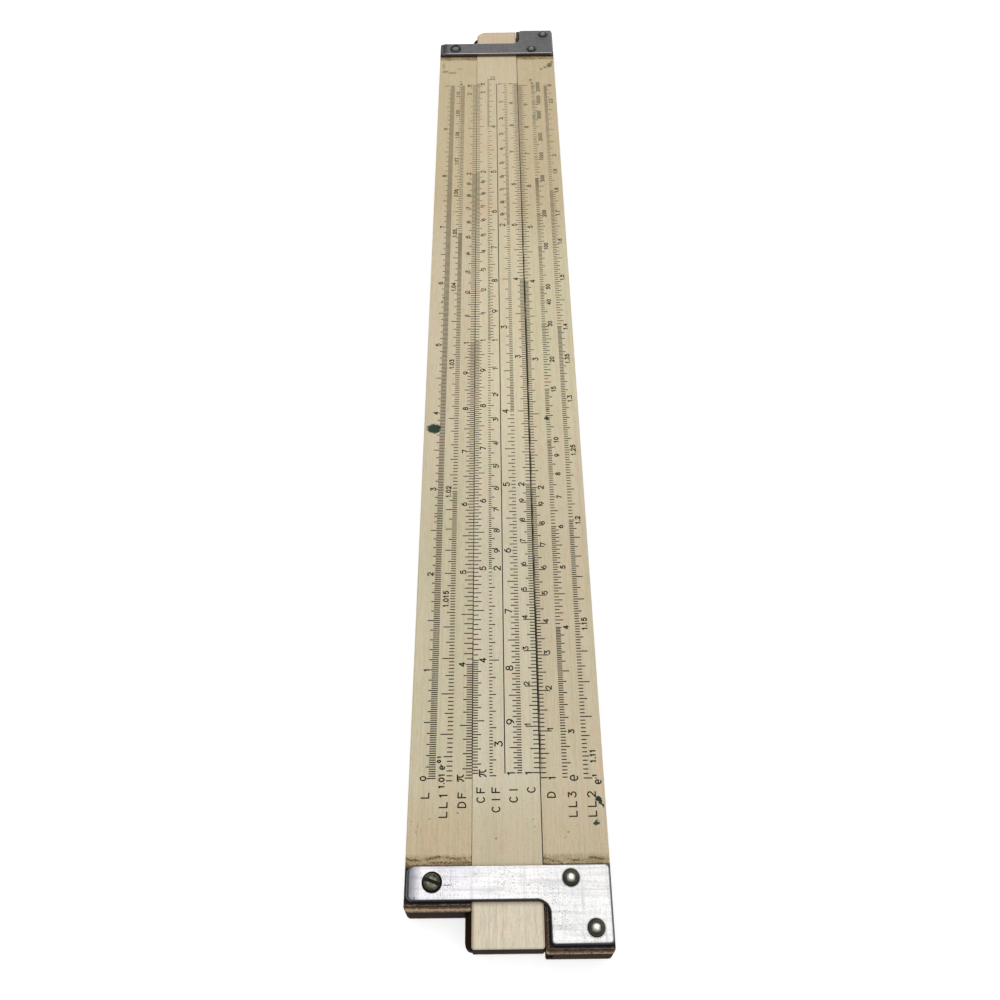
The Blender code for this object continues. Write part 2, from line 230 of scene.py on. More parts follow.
BODY = {"upper_rail": "body", "slide": "slide", "lower_rail": "body"}
BAR_WIDTH = 0.0068
LEG_INNER_Y = -0.00823
BRACKET_LOW, BRACKET_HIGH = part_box("left_front_bracket")
BAR_INNER_X = -BRACKET_HIGH.x
BAR_OUTER_X = BAR_INNER_X + BAR_WIDTH
LEG_END_X = -BRACKET_LOW.x
SLIDE_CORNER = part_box("slide_front_facing")[1]
MIDDLE_Z = (BRACKET_HIGH.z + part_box("left_back_bracket")[0].z) / 2
PLATE_TOP = BRACKET_HIGH.z - MIDDLE_Z
HEAD_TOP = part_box("left_inner_rivet")[1].z - MIDDLE_Z
FRONT_FACE = {member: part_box(member + "_front_facing")[1].z for member in BODY}
BACK_FACE = {member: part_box(member + "_back_facing")[0].z for member in BODY}
SHIFT = {"upper_rail": UPPER_RAIL_SHIFT, "slide": SLIDE_SHIFT, "lower_rail": 0.0}


def stand(name, data):
    """Puts a new object into the scene."""
    piece = bpy.data.objects.new(name, data)
    bpy.context.scene.collection.objects.link(piece)
    return piece


def from_middle(place):
    """A place given from the left index, in the rule's own coordinates."""
    return (place[0] - SCALE_LENGTH / 2, place[1])


# Celluloid. A noise has its features to the metre along X, Y and Z, its detail, roughness and shift.

CELLULOID_NOISES = {
    "streak": ((9, 2600, 40), 4, 0.65),
    "scratch": ((420, 5200, 40), 3, 0.6, (3, 1, 2)),
    "cloud": ((55, 120, 60), 3, 0.55),
    "tint": ((230, 360, 60), 3, 0.6, (7, 2, 5)),
    "grain": ((2300, 2700, 400), 3, 0.6),
}
CELLULOID_ROUGHNESS = (0.38, 0.52)
CELLULOID_IOR = 1.36
STREAK_SHARE = 0.6
BRUSH_RELIEF = (0.00003, 0.5)

# Each member's colour at the near end, before the middle, in the middle and at the far end: the cream's own
# tone with painted light, brightest in the middle of the rule and dimmer towards its ends
CREAM = {
    "upper_rail": ((0.5, 0.4, 0.258), (0.518, 0.46, 0.32), (0.57, 0.488, 0.345), (0.535, 0.445, 0.285)),
    "slide": ((0.51, 0.435, 0.303), (0.552, 0.5, 0.367), (0.617, 0.543, 0.38), (0.58, 0.49, 0.333)),
    "lower_rail": ((0.502, 0.412, 0.278), (0.522, 0.448, 0.312), (0.582, 0.515, 0.352), (0.53, 0.438, 0.28)),
}
CREAM_TURNS = ((-0.138, -0.124), (-0.07, -0.01), (0.035, 0.065))
CREAM_CLEAN = (0.672, 0.6, 0.472)
CREAM_CLEAN_FAR = (0.605, 0.485, 0.35)
CLEAN_FADE = 0.001
CLEAN_SHARE = 0.85

# The share that brushing shows on the rails, and on the slide between the brackets and past them
BRUSHED_SHARE = 0.26
SLIDE_BRUSHED_SHARES = (0.2, 0.45)

# Tones by noise: the levels at which one starts and is full, its share, and what it multiplies
CLOUDED = (0.4, 0.66, 0, 0.2), (0.84, 0.84, 0.72)
REDDENED = (0.52, 0.7, 0, 0.55), (1.05, 0.9, 0.85)
GREENED = (0.48, 0.3, 0, 0.55), (0.91, 0.99, 0.86)
GRAINED = (0.5, 0.7, 0, 0.42), (0.7, 0.69, 0.64)
STREAKED = (0.42, 0.66), (0.72, 0.7, 0.66)
SCRATCHED_DARK = (0.5, 0.68), (0.66, 0.64, 0.6)
SCRATCHED_LIGHT = (0.5, 0.32), (1.22, 1.24, 1.28)

# How ragged blots and specks are: features to the metre, and how far they push
BLOT_RAGGED = (1300, 0.0013)
SPECK_RAGGED = (2600, 0.0004)
SPECK_SOFT_SHARE = 0.4
SPECK_BROWN = (0.06, 0.045, 0.025)


def celluloid(name, member, blots=(), specks=()):
    """Yellowed celluloid, brushed lengthwise, clouded by handling, soiled beside the brackets, with painted
    light and shade.
    """
    tree = Tree(name)
    streak, scratch, cloud, tint, grain = tree.noises(CELLULOID_NOISES)
    colour = CREAM[member][0]
    for turn, later in zip(CREAM_TURNS, CREAM[member][1:]):
        colour = tree.mix(tree.span(tree.x, *turn), colour, later)
    brushed = BRUSHED_SHARE
    if member == "slide":
        past_bar = tree.span(abs(tree.x), BAR_OUTER_X, BAR_OUTER_X + CLEAN_FADE)
        near_end = tree.x < 0.0
        colour = tree.mix(past_bar * CLEAN_SHARE, colour, tree.mix(near_end, CREAM_CLEAN_FAR, CREAM_CLEAN))
        brushed = tree.span(past_bar * near_end, 0, 1, *SLIDE_BRUSHED_SHARES, smooth=False)
    for noise, (levels, factor) in ((cloud, CLOUDED), (tint, REDDENED), (tint, GREENED)):
        colour = tree.tone(colour, tree.span(noise, *levels), factor)
    scratched = (scratch, SCRATCHED_DARK), (scratch, SCRATCHED_LIGHT)
    for noise, (levels, factor) in ((streak, STREAKED), *scratched):
        colour = tree.tone(colour, tree.span(noise, *levels) * brushed, factor)
    colour = tree.tone(colour, tree.span(grain, *GRAINED[0]), GRAINED[1])
    roughness = tree.spread(streak, *CELLULOID_ROUGHNESS)
    if member == "slide":
        colour = worn_ends(tree, colour)
    else:
        colour, dull = soiled_bands(tree, colour)
        colour = dark_inner_edge(tree, colour, member)
        roughness = tree.most(roughness, dull)
    ragged = tree.ragged(*BLOT_RAGGED)
    for centre, radii, ink, share in blots:
        mask = tree.blot(from_middle(centre), radii, ragged)
        colour = tree.mix(mask * share, colour, ink)
        roughness = tree.most(roughness, mask)
    ragged = tree.ragged(*SPECK_RAGGED)
    for centre, radius, share in specks:
        mask = tree.blot(from_middle(centre), (radius, radius), ragged, SPECK_SOFT_SHARE)
        colour = tree.mix(mask * share, colour, SPECK_BROWN)
    relief = tree.relief(streak * STREAK_SHARE + scratch * (1 - STREAK_SHARE), *BRUSH_RELIEF)
    return tree.finish(Base_Color=colour, Roughness=roughness, Normal=relief, IOR=CELLULOID_IOR)


EDGE_BAND = 0.0008
EDGE_BAND_SHARE = 0.7
EDGE_BROWN = (0.2, 0.135, 0.075)


def worn_ends(tree, colour):
    """The slide's ends, darkened brown along their edges."""
    along = abs(tree.x)
    end = tree.span(along, SLIDE_CORNER.x - EDGE_BAND, SLIDE_CORNER.x - 0.2 * EDGE_BAND)
    side = tree.span(abs(tree.y), SLIDE_CORNER.y - EDGE_BAND, SLIDE_CORNER.y - 0.1 * EDGE_BAND)
    edge = tree.most(end, side * (along > BAR_OUTER_X))
    return tree.mix(edge * EDGE_BAND_SHARE, colour, EDGE_BROWN)


# Dirt and painted shade. A tuple of levels has a noise's two levels, and the shares of the mark that it
# shows there.

# Near-black grime with painted shade, for the gap line beside the slide and the lip next to the brackets
GRIME_AND_SHADE = (0.014, 0.008, 0.005)
INNER_EDGE_WIDTH = {"upper_rail": 0.00012, "lower_rail": 0.0003}
INNER_EDGE_NOISE = ((160, 900, 60), 3, 0.6, (4, 4, 2))
INNER_EDGE_LEVELS = (0.36, 0.52, 0.45, 0.92)
INNER_EDGE_START = (-0.128, -0.116)
INNER_EDGE_END = (0.118, 0.01)


def dark_inner_edge(tree, colour, member):
    """Painted shade of the gap along the edge that the slide rubs against, with dirt, fading towards the
    rule's ends.
    """
    inner_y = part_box(member + "_front_facing")[0 if member == "upper_rail" else 1].y
    width = INNER_EDGE_WIDTH[member]
    line = tree.span(abs(tree.y - inner_y), 1.3 * width, 0.7 * width)
    worn = tree.span(tree.noise(*INNER_EDGE_NOISE), *INNER_EDGE_LEVELS)
    held = tree.span(tree.x, *INNER_EDGE_START) * tree.span(tree.x, *INNER_EDGE_END)
    return tree.mix(line * worn * held, colour, GRIME_AND_SHADE)


DIRT_NOISES = {
    "blotchy": ((700, 420, 100), 4, 0.65, (1, 9, 4)),
    "drift": ((40, 130, 60), 2, 0.5, (2, 5, 4)),
    "grit": ((2600, 1900, 100), 3, 0.7, (6, 3, 1)),
    "beads": ((3400, 2700, 100), 2, 0.6, (9, 1, 1)),
}
DIRT_RAGGED = (1500, 0.0008)
DIRT_WASH = (0.305, 0.218, 0.092)
# Brown for the dirt lines and for the painted contact shadow
DIRT_AND_SHADE_BROWN = (0.072, 0.041, 0.007)
DIRT_REACH = 0.0027
WASH_LEVELS = (0.34, 0.6, 0.15, 0.62)
DIRT_LINE_OFF = 0.0016
DIRT_LINE_HALF = 0.0005
DIRT_LINE_WANDER = 0.0032
DIRT_LINE_LEVELS = (0.38, 0.56, 0.2, 0.95)
LOW_LINE_OFF = 0.00085
LOW_LINE_LEVELS = (0.42, 0.56, 0.15, 0.9)
LOOP_MIDDLE = 0.47
LOOP_LEVELS = (0.035, 0.01, 0, 0.75)
BEAD_LEVELS = (0.38, 0.52, 0.42, 1)
# A painted contact shadow, with dirt, close beside the bars' inner edges
CONTACT_SHADE_REACH = 0.00058
CONTACT_SHADE_SHARE = 0.9

# Grime and painted shade outside the brackets, and a painted highlight line, by how far past their outline
# each kind reaches
RED_GRIME_AND_SHADE = (0.105, 0.055, 0.03)
RIDGE_HIGHLIGHT = (0.21, 0.155, 0.125)
WORN_LIP = (0.34, 0.26, 0.165)
GRIME_WANDER = 0.001
# A painted highlight line on the lip, a little off the bracket's outline
RIDGE_OFF = 0.00043
RIDGE_HALF = 0.00013
RIDGE_SHARE = 0.8
SHADE_AND_GRIME_REACH = 0.00058
RED_SHADE_AND_GRIME_REACH = 0.00102
WORN_LIP_REACH = 0.00128
DARK_EDGE_OFF = 0.00148
DARK_EDGE_REACH = 0.0016
DARK_EDGE_SHARE = 0.75
DIRT_ROUGHNESS = 0.9


def past_bracket(tree):
    """How far a place lies outside the outline of the L-shaped brackets."""
    flat = tree.join(abs(tree.x), tree.y)
    distances = []
    for outer_x, high_y in ((BAR_OUTER_X, BRACKET_HIGH.y), (LEG_END_X, LEG_INNER_Y)):
        centre = ((BAR_INNER_X + outer_x) / 2, (BRACKET_LOW.y + high_y) / 2, 0)
        half = ((outer_x - BAR_INNER_X) / 2, (high_y - BRACKET_LOW.y) / 2, 0)
        offset = tree.vector("ABSOLUTE", tree.vector("SUBTRACT", flat, centre))
        outside = tree.vector("MAXIMUM", tree.vector("SUBTRACT", offset, half))
        distances.append(tree.length(outside))
    return tree.math("MINIMUM", *distances)


def soiled_bands(tree, colour):
    """Dirt and a painted contact shadow by the bars, and grime, painted shade and a painted highlight line
    round the brackets, with its roughness.
    """
    blotchy, drift, grit, beads = tree.noises(DIRT_NOISES)
    off_bar = BAR_INNER_X - tree.parts(tree.vector("ABSOLUTE", tree.ragged(*DIRT_RAGGED)))[0]
    wash = tree.span(off_bar, DIRT_REACH, 0.5 * DIRT_REACH) * tree.span(blotchy, *WASH_LEVELS)
    colour = tree.mix(wash, colour, DIRT_WASH)
    off_line = off_bar - DIRT_LINE_OFF - (drift - 0.5) * DIRT_LINE_WANDER
    line = tree.span(abs(off_line), DIRT_LINE_HALF, 0.1 * DIRT_LINE_HALF)
    line = line * tree.span(blotchy, *DIRT_LINE_LEVELS)
    low_line = tree.span(abs(off_bar - LOW_LINE_OFF), 0.8 * DIRT_LINE_HALF, 0.2 * DIRT_LINE_HALF)
    line = tree.most(line, low_line * tree.span(drift, *LOW_LINE_LEVELS))
    loops = tree.span(abs(grit - LOOP_MIDDLE), *LOOP_LEVELS)
    loops = loops * tree.span(off_bar, DIRT_REACH, 0.75 * DIRT_REACH)
    dirt = tree.most(line, loops) * tree.span(beads, *BEAD_LEVELS)
    # Painted contact shadow beside the bar, mixed in with the dirt
    contact_shade = tree.span(off_bar, CONTACT_SHADE_REACH, 0.75 * CONTACT_SHADE_REACH, 0, CONTACT_SHADE_SHARE)
    colour = tree.mix(tree.most(dirt, contact_shade), colour, DIRT_AND_SHADE_BROWN)
    # Outside the brackets: painted shade with grime next to them, then lighter bands further out
    past = past_bracket(tree) + (grit - 0.5) * GRIME_WANDER
    lip = tree.mix(tree.span(past, SHADE_AND_GRIME_REACH, RED_SHADE_AND_GRIME_REACH), GRIME_AND_SHADE, RED_GRIME_AND_SHADE)
    lip = tree.mix(tree.span(past, RED_SHADE_AND_GRIME_REACH, WORN_LIP_REACH), lip, WORN_LIP)
    lip = tree.mix(tree.span(past, DARK_EDGE_OFF, DARK_EDGE_REACH, 0, DARK_EDGE_SHARE), lip, RED_GRIME_AND_SHADE)
    # The painted highlight line
    lip = tree.mix(tree.span(abs(past - RIDGE_OFF), RIDGE_HALF, 0, 0, RIDGE_SHARE), lip, RIDGE_HIGHLIGHT)
    beyond = abs(tree.x) > BAR_INNER_X
    return tree.mix(beyond, colour, lip), tree.most(beyond, dirt) * DIRT_ROUGHNESS


# Wood

WOOD_NOISES = {
    "grain": ((30, 1700, 1700), 5, 0.65),
    "pores": ((160, 5200, 5200), 2, 0.5, (2, 6, 1)),
}
WOOD_DARK = (0.008, 0.005, 0.003)
WOOD_LIGHT = (0.34, 0.68), (0.034, 0.018, 0.01)
WOOD_PORES = (0.55, 0.7, 0, 0.7), (0.005, 0.003, 0.002)
WOOD_ROUGHNESS = (0.55, 0.75)
WOOD_IOR = 1.08
WOOD_RELIEF = (0.00006, 0.6)


def mahogany(name):
    """Bare dark wood with its grain along the rule, and pores on the end faces."""
    tree = Tree(name)
    grain, pores = tree.noises(WOOD_NOISES)
    colour = tree.over(WOOD_DARK, grain, *WOOD_LIGHT)
    colour = tree.over(colour, pores, *WOOD_PORES)
    relief = tree.relief(grain, *WOOD_RELIEF)
    roughness = tree.spread(grain, *WOOD_ROUGHNESS)
    return tree.finish(Base_Color=colour, Roughness=roughness, Normal=relief, IOR=WOOD_IOR)


# Metal

PLATE_NOISES = {
    "rub": ((1500, 60, 60), 4, 0.7),
    "cross_rub": ((90, 1700, 60), 3, 0.7, (4, 1, 8)),
    "weave": ((2300, 2000, 300), 3, 0.7, (2, 2, 6)),
    "cloud": ((150, 210, 150), 3, 0.5, (5, 5, 1)),
    "pits": ((4200, 3600, 3600), 2, 0.6, (8, 2, 3)),
    "patch": ((380, 300, 300), 2, 0.5, (1, 4, 9)),
}
PLATE_ROUGHNESS = (0.25, 0.36)

# The plate's colour over the leg, then where the middle's and the free end's start and are full
LEG_TINT = (0.538, 0.537, 0.531)
MIDDLE_TINT = (-0.013, -0.003), (0.582, 0.575, 0.563)
FREE_TINT = (-0.002, 0.012), (0.545, 0.534, 0.562)
CLOUD_LEVELS = (0.4, 0.62)
CLOUD_TONE = (1.04, 1.03, 1.02)
RUBBED = (0.46, 0.68, 0, 0.55), (0.35, 0.35, 0.362)
CROSS_RUBBED = (0.48, 0.68, 0, 0.55), (0.375, 0.37, 0.382)
WOVEN = (0.5, 0.68, 0, 0.55), (0.335, 0.335, 0.342)

# Pits gather in patches, each with its centre and radius
PATCH_LEVELS = (0.45, 0.66, 0.05, 0.55)
PIT_PATCHES = (((-0.1458, 0.0005), 0.003), ((-0.1485, -0.0079), 0.0034), ((-0.1465, 0.0125), 0.0024),
               ((-0.153, -0.0102), 0.0034), ((-0.1575, -0.0165), 0.0024))
PATCH_SOFT_SHARE = 0.7
PIT_LEVELS = (0.58, 0.66)
PIT_SHARE = 0.9
PIT_DARK = (0.1, 0.095, 0.09)
PLATE_RELIEF = (0.00002, 0.35)

# Scratches, each with its centre, its radii and its share
PLATE_SCRATCHES = (
    ((-0.14685, 0.0122), (0.00013, 0.0011), 0.75), ((-0.1493, 0.0186), (0.00035, 0.0002), 0.7),
    ((-0.1486, 0.0134), (0.0004, 0.0001), 0.55), ((-0.1448, 0.0065), (0.0001, 0.0008), 0.4),
    ((-0.1453, 0.0085), (0.0001, 0.0005), 0.4), ((-0.147, -0.004), (0.0001, 0.0006), 0.45),
)
SCRATCH_RAGGED = (1700, 0.0005)
SCRATCH_SOFT_SHARE = 0.5
SCRATCH_DARK = (0.05, 0.045, 0.04)

# Painted shade on the free end, around the rivets, on the rims from the top down and over the far end
FREE_END_FADE = 0.0033
FREE_END_SHARE = 0.82
FREE_END_SHADE = (0.105, 0.108, 0.125)
SEAT_SHADE_REACH = 0.00015
SEAT_SOFT_SHARE = 0.14
SEAT_SHARE = 0.6
SEAT_SHADE = (0.06, 0.055, 0.05)
RIM_DEPTH = 0.0002
RIM_SHADE = (0.028, 0.031, 0.043)
INNER_RIM_SHADE = (0.15, 0.13, 0.128)
INNER_RIM_REACH = (0.0006, 0.0002)
FREE_RIM_SHADE = (0.105, 0.11, 0.125)
FREE_RIM_REACH = (0.0016, 0.0008)
FREE_RIM_DEPTH = (0.0006, 0.0003)
FAR_PLATE_SHADE = (0.84, 0.83, 0.85)


def satin_nickel(name):
    """Satin nickel plate, rubbed both ways and finely pitted, with painted shade on rims, free end and far
    end.
    """
    tree = Tree(name)
    rub, cross_rub, weave, cloud, pits, patch = tree.noises(PLATE_NOISES)
    colour = LEG_TINT
    for tint in (MIDDLE_TINT, FREE_TINT):
        colour = tree.over(colour, tree.y, *tint)
    colour = tree.tone(colour, tree.span(cloud, *CLOUD_LEVELS), CLOUD_TONE)
    for noise, worn in ((rub, RUBBED), (cross_rub, CROSS_RUBBED), (weave, WOVEN)):
        colour = tree.over(colour, noise, *worn)
    near = tree.span(patch, *PATCH_LEVELS)
    for centre, radius in PIT_PATCHES:
        near = tree.most(near, tree.blot(centre, (radius, radius), tree.place, PATCH_SOFT_SHARE))
    pitted = tree.span(pits, *PIT_LEVELS) * (near * PIT_SHARE)
    colour = tree.mix(pitted, colour, PIT_DARK)
    front = tree.z > MIDDLE_Z
    ragged = tree.ragged(*SCRATCH_RAGGED)
    for centre, radii, share in PLATE_SCRATCHES:
        scratch = tree.blot(centre, radii, ragged, SCRATCH_SOFT_SHARE) * front
        colour = tree.mix(scratch * share, colour, SCRATCH_DARK)
    high_y = BRACKET_HIGH.y
    # The free end greyed with painted shade
    free = tree.span(tree.y, high_y - FREE_END_FADE, high_y - 0.25 * FREE_END_FADE, 0, FREE_END_SHARE)
    colour = tree.mix(free, colour, FREE_END_SHADE)
    along = abs(tree.x)
    flat = tree.join(along, tree.y)
    # Painted shade in a ring around each rivet, at both ends of the rule
    for rivet in ("right_inner_rivet", "right_outer_rivet"):
        low_corner, high_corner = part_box(rivet)
        centre = (low_corner + high_corner) / 2
        radius = (high_corner.x - low_corner.x) / 2 + SEAT_SHADE_REACH
        seat_shade = tree.blot((centre.x, centre.y), (radius, radius), flat, SEAT_SOFT_SHARE)
        colour = tree.mix(seat_shade * SEAT_SHARE, colour, SEAT_SHADE)
    outward = tree.outward()
    # The rims below the top take painted shade, a little less dark along the inner edge and the free end
    inner_edge = tree.span(along, *(BAR_INNER_X + reach for reach in INNER_RIM_REACH))
    rim = tree.mix(inner_edge, RIM_SHADE, INNER_RIM_SHADE)
    free_rim = tree.span(tree.y, *(high_y - reach for reach in FREE_RIM_REACH))
    free_rim = free_rim * tree.span(outward, *(PLATE_TOP - depth for depth in FREE_RIM_DEPTH))
    rim = tree.mix(free_rim, rim, FREE_RIM_SHADE)
    low = tree.span(outward, PLATE_TOP - 0.1 * RIM_DEPTH, PLATE_TOP - RIM_DEPTH)
    # The plate is dimmed at the far end as painted shade
    colour = tree.tone(tree.mix(low, colour, rim), tree.x > 0, FAR_PLATE_SHADE)
    relief = tree.relief(rub * 0.5 - pitted, *PLATE_RELIEF)
    roughness = tree.spread(rub, *PLATE_ROUGHNESS)
    return tree.finish(Base_Color=colour, Roughness=roughness, Metallic=1.0, Normal=relief)


RIVET_NOISES = {
    "mottle": ((1500, 1500, 1500), 3, 0.6),
    "scuffs": ((3500, 900, 3500), 3, 0.7, (2, 7, 3)),
}
RIVET_WANDER = 0.0002
RIVET_SHADE = (0.035, 0.036, 0.027)

# Painted shade down the flanks and a painted highlight on the crown
# Towards the crown: how far below it each tone begins and is full, and its colour
RIVET_LIGHT_AND_SHADE_TONES = ((0.00085, 0.0005, (0.072, 0.071, 0.054)), (0.0005, 0.00018, (0.15, 0.146, 0.118)),
               (0.00017, 0.00005, (0.28, 0.272, 0.235)), (0.00005, 0.00000, (0.6, 0.598, 0.57)))
RIVET_SCUFFED = (0.52, 0.7, 0, 0.6), (0.6, 0.6, 0.6)
RIVET_ROUGHNESS = (0.22, 0.34)
HEAD_RELIEF = (0.00002, 0.3)
FAR_HEAD_SHADE = (0.095, 0.095, 0.102)
FAR_SHARE = 0.62


def head_finish(tree, colour, scuffs, roughness):
    """A head's metal, darkened towards one grey at the far end as painted shade."""
    colour = tree.mix((tree.x > 0) * FAR_SHARE, colour, FAR_HEAD_SHADE)
    relief = tree.relief(scuffs, *HEAD_RELIEF)
    return tree.finish(Base_Color=colour, Roughness=roughness, Metallic=1.0, Normal=relief)


def rivet_nickel(name):
    """Rivet heads, with a painted highlight on the crown and painted shade down their flanks."""
    tree = Tree(name)
    mottle, scuffs = tree.noises(RIVET_NOISES)
    outward = tree.outward() + (mottle - 0.5) * RIVET_WANDER
    colour = RIVET_SHADE
    for low, high, level in RIVET_LIGHT_AND_SHADE_TONES:
        colour = tree.mix(tree.span(outward, HEAD_TOP - low, HEAD_TOP - high), colour, level)
    colour = tree.tone(colour, tree.span(scuffs, *RIVET_SCUFFED[0]), RIVET_SCUFFED[1])
    return head_finish(tree, colour, scuffs, tree.spread(mottle, *RIVET_ROUGHNESS))


SCREW_NOISES = {
    "mottle": ((1100, 1100, 1100), 3, 0.6),
    "scuffs": ((3500, 1500, 3500), 3, 0.7, (2, 7, 3)),
}
SCREW_OLIVE = (0.085, 0.086, 0.058)
SCREW_GREYED = (0.38, 0.62), (0.165, 0.165, 0.13)
SCREW_SCUFFED = (0.6, 0.7, 0, 0.6), (0.46, 0.46, 0.4)
SLOT_DEPTHS = (0.00036, 0.00056)
SLOT_SHADE = (0.012, 0.012, 0.01)
SCREW_ROUGHNESS = (0.26, 0.42)


def screw_steel(name):
    """Dark olive screw heads with a few bright scuffs, the slot and the low flanks painted black as shade.
    """
    tree = Tree(name)
    mottle, scuffs = tree.noises(SCREW_NOISES)
    colour = tree.over(SCREW_OLIVE, mottle, *SCREW_GREYED)
    colour = tree.over(colour, scuffs, *SCREW_SCUFFED)
    # Painted shade, deeper down the slot and the head's low flanks
    low = tree.span(tree.outward(), *(HEAD_TOP - depth for depth in SLOT_DEPTHS))
    colour = tree.mix(low, colour, SLOT_SHADE)
    return head_finish(tree, colour, scuffs, tree.spread(mottle, *SCREW_ROUGHNESS))


BRASS_NOISE = ((400, 400, 6000), 3, 0.6)
BRASS_LIGHT = (0.5, 0.36, 0.14)
BRASS_DARK = (0.35, 0.65), (0.36, 0.25, 0.1)
BRASS_ROUGHNESS = (0.32, 0.45)


def brass(name):
    """Turned brass, ringed across its axis."""
    tree = Tree(name)
    turned = tree.noise(*BRASS_NOISE)
    colour = tree.over(BRASS_LIGHT, turned, *BRASS_DARK)
    return tree.finish(Base_Color=colour, Roughness=tree.spread(turned, *BRASS_ROUGHNESS), Metallic=1.0)


# Ink

INK_NOISES = {
    "wear": ((420, 900, 100), 3, 0.6),
    "rubbed": ((25, 45, 40), 2, 0.5, (3, 8, 2)),
}
WEAR_LEVELS = (0.42, 0.72)
RUBBED_LEVELS = (0.35, 0.65, 0.35, 1)
INK_DARK = (0.012, 0.009, 0.005)
INK_WORN = (0.052, 0.041, 0.027)
INK_FADED = (0.05, 0.1, 0, 0.28), (0.33, 0.275, 0.185)
INK_ROUGHNESS = (0.5, 0.65)
INK_IOR = 1.2


def engraving_ink(name):
    """Dark filling of the engraved lines, thinned by wear in places and paler at the far end."""
    tree = Tree(name)
    wear, rubbed = tree.noises(INK_NOISES)
    worn = tree.span(wear, *WEAR_LEVELS) * tree.span(rubbed, *RUBBED_LEVELS)
    colour = tree.mix(worn, INK_DARK, INK_WORN)
    colour = tree.over(colour, tree.x, *INK_FADED)
    return tree.finish(Base_Color=colour, Roughness=tree.spread(wear, *INK_ROUGHNESS), IOR=INK_IOR)


# Thin inked solids

ARC_STEP_DEGREES = 24


def as_complex(points):
    return [complex(*point) for point in points]


def arc(x, y, across, up, start, end):
    """Points of an elliptical arc, its angles in degrees from the right."""
    steps = max(2, round(abs(end - start) / ARC_STEP_DEGREES))
    angles = [math.radians(start + (end - start) * step / steps) for step in range(steps + 1)]
    return [(x + across * math.cos(angle), y + up * math.sin(angle)) for angle in angles]


# Strokes in shares of the figure's height, with the width that the figure takes
GLYPH_SHARES = {
    "0": (0.68, [arc(0.34, 0.5, 0.34, 0.5, 0, 360)]),
    "1": (0.44, [[(0.22, 0), (0.22, 1)], [(0.22, 1), (0.02, 0.8)]]),
    "2": (0.68, [[*arc(0.34, 0.7, 0.32, 0.3, 165, -32), (0, 0), (0.68, 0)]]),
    "3": (0.68, [[(0.04, 1), (0.62, 1), (0.28, 0.61), *arc(0.32, 0.31, 0.35, 0.31, 88, -150)]]),
    "4": (0.7, [[(0.5, 0), (0.5, 1), (0, 0.28), (0.7, 0.28)]]),
    "5": (0.68, [[(0.6, 1), (0.12, 1), (0.07, 0.53), *arc(0.32, 0.33, 0.35, 0.33, 130, -150)]]),
    "6": (0.68, [arc(0.34, 0.32, 0.34, 0.32, 0, 360), arc(0.62, 0.32, 0.62, 0.68, 180, 102)]),
    "7": (0.66, [[(0, 1), (0.66, 1), (0.22, 0)]]),
    "8": (0.68, [arc(0.34, 0.76, 0.27, 0.24, 0, 360), arc(0.34, 0.26, 0.34, 0.26, 0, 360)]),
    "9": (0.68, [arc(0.34, 0.68, 0.34, 0.32, 0, 360), arc(0.06, 0.68, 0.62, 0.68, 0, -78)]),
    ".": (0.06, [[(0, 0.02), (0.06, 0.02)]]),
    "A": (0.74, [[(0, 0), (0.37, 1), (0.74, 0)], [(0.13, 0.33), (0.61, 0.33)]]),
    "B": (0.68, [[(0.36, 0.52), (0, 0.52)],
                 [(0, 0), (0, 1), *arc(0.36, 0.76, 0.26, 0.24, 90, -90),
                  *arc(0.36, 0.26, 0.32, 0.26, 88, -90), (0, 0)]]),
    "C": (0.68, [arc(0.36, 0.5, 0.36, 0.5, 48, 312)]),
    "D": (0.68, [[(0, 0), (0, 1), *arc(0.22, 0.5, 0.46, 0.5, 90, -90), (0, 0)]]),
    "F": (0.64, [[(0, 0), (0, 1), (0.64, 1)], [(0, 0.53), (0.52, 0.53)]]),
    "I": (0, [[(0, 0), (0, 1)]]),
    "K": (0.68, [[(0, 0), (0, 1)], [(0.64, 1), (0, 0.38)], [(0.23, 0.6), (0.68, 0)]]),
    "L": (0.64, [[(0, 1), (0, 0), (0.64, 0)]]),
    "S": (0.68, [[*arc(0.34, 0.75, 0.31, 0.25, 35, 262), *arc(0.34, 0.25, 0.34, 0.25, 82, -145)]]),
    "T": (0.68, [[(0, 1), (0.68, 1)], [(0.34, 1), (0.34, 0)]]),
    "e": (0.68, [[(0.04, 0.48), (0.67, 0.48), *arc(0.34, 0.5, 0.34, 0.5, 0, 305)]]),
    "π": (1.04, [[(0, 0.84), (0.08, 0.95), (0.24, 1), (1.04, 1)],
                 [(0.38, 0.98), (0.33, 0.5), (0.19, 0.18), (0, 0.02)],
                 [(0.7, 0.98), (0.68, 0.45), (0.76, 0.16), (1, 0)]]),
}
CORNER_DEGREES = 34


def smooth_runs(points):
    """Splits a stroke at its corners, so that each run bends gently and gets round ends."""
    runs, run = [], [points[0]]
    for before, here, after in zip(points, points[1:], points[2:]):
        run.append(here)
        turn = np.angle((after - here) / (here - before), deg=True)
        if abs(turn) > CORNER_DEGREES:
            runs.append(run)
            run = [here]
    return [*runs, [*run, points[-1]]]


